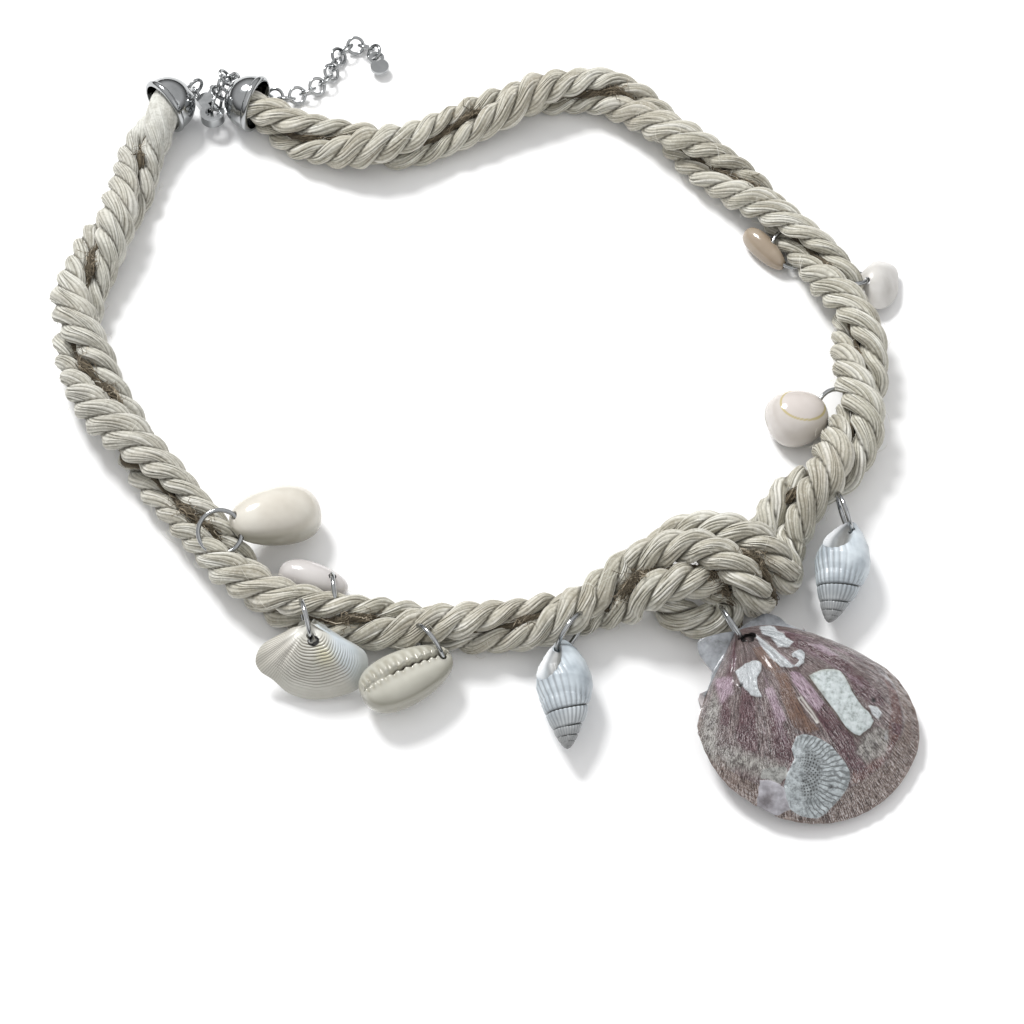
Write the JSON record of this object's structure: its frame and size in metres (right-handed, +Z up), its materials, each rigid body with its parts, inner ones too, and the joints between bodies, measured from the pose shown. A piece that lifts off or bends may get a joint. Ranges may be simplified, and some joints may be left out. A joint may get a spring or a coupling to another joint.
{
  "type": "shell necklace",
  "caption": "Knotted necklace of twisted soft rope with twine, hung with natural shells on wire rings, with metal end caps, a lever clasp and an extension chain.",
  "frame": {"origin": "middle of the necklace's outline, on the surface that it lies on", "axes": "+Z up from the surface, +Y away from the viewer towards the clasp side, +X to the viewer's right"},
  "size_m": [0.1742, 0.1925, 0.0173],
  "materials": {
    "rope": "matte twisted cotton",
    "twine": "matte hairy twine",
    "metal": "bright polished",
    "scallop": "lacquered natural shell",
    "whelk": "satin natural shell",
    "clam": "satin natural shell",
    "cowrie": "glossy natural shell",
    "cowrie_yellow_ring": "glossy natural shell",
    "cowrie_tan": "glossy natural shell"
  },
  "bodies": {
    "necklace": {"rope_a": "rope", "rope_b": "rope", "twine_a": "twine", "twine_b": "twine", "cap_left": "metal", "cap_right": "metal", "clasp_body": "metal", "clasp_ring": "metal", "extension_chain": "metal", "chain_drop": "metal", "scallop_pendant": "scallop", "scallop_ring": "metal", "whelk_left": "whelk", "whelk_left_ring": "metal", "whelk_right": "whelk", "whelk_right_ring": "metal", "clam": "clam", "clam_ring": "metal", "cowrie_left": "cowrie", "cowrie_left_ring": "metal", "cowrie_front": "cowrie", "cowrie_front_ring": "metal", "cowrie_right": "cowrie_yellow_ring", "cowrie_right_ring": "metal", "cowrie_far": "cowrie_tan", "cowrie_far_ring": "metal", "cowrie_hidden": "cowrie", "cowrie_hidden_ring": "metal", "clam_far": "clam", "clam_far_ring": "metal"},
    "lever": {"clasp_lever": "metal"}
  },
  "joints": [
    {"name": "clasp_lever_hinge", "type": "hinge", "parent": "necklace", "child": "lever", "pos_m": [-0.05901, 0.07652, 0.00405], "axis": [0, 0, -1], "range_deg": [0, 15], "stiffness_Nm_per_rad": 0.002, "springref_deg": -11.46}
  ]
}
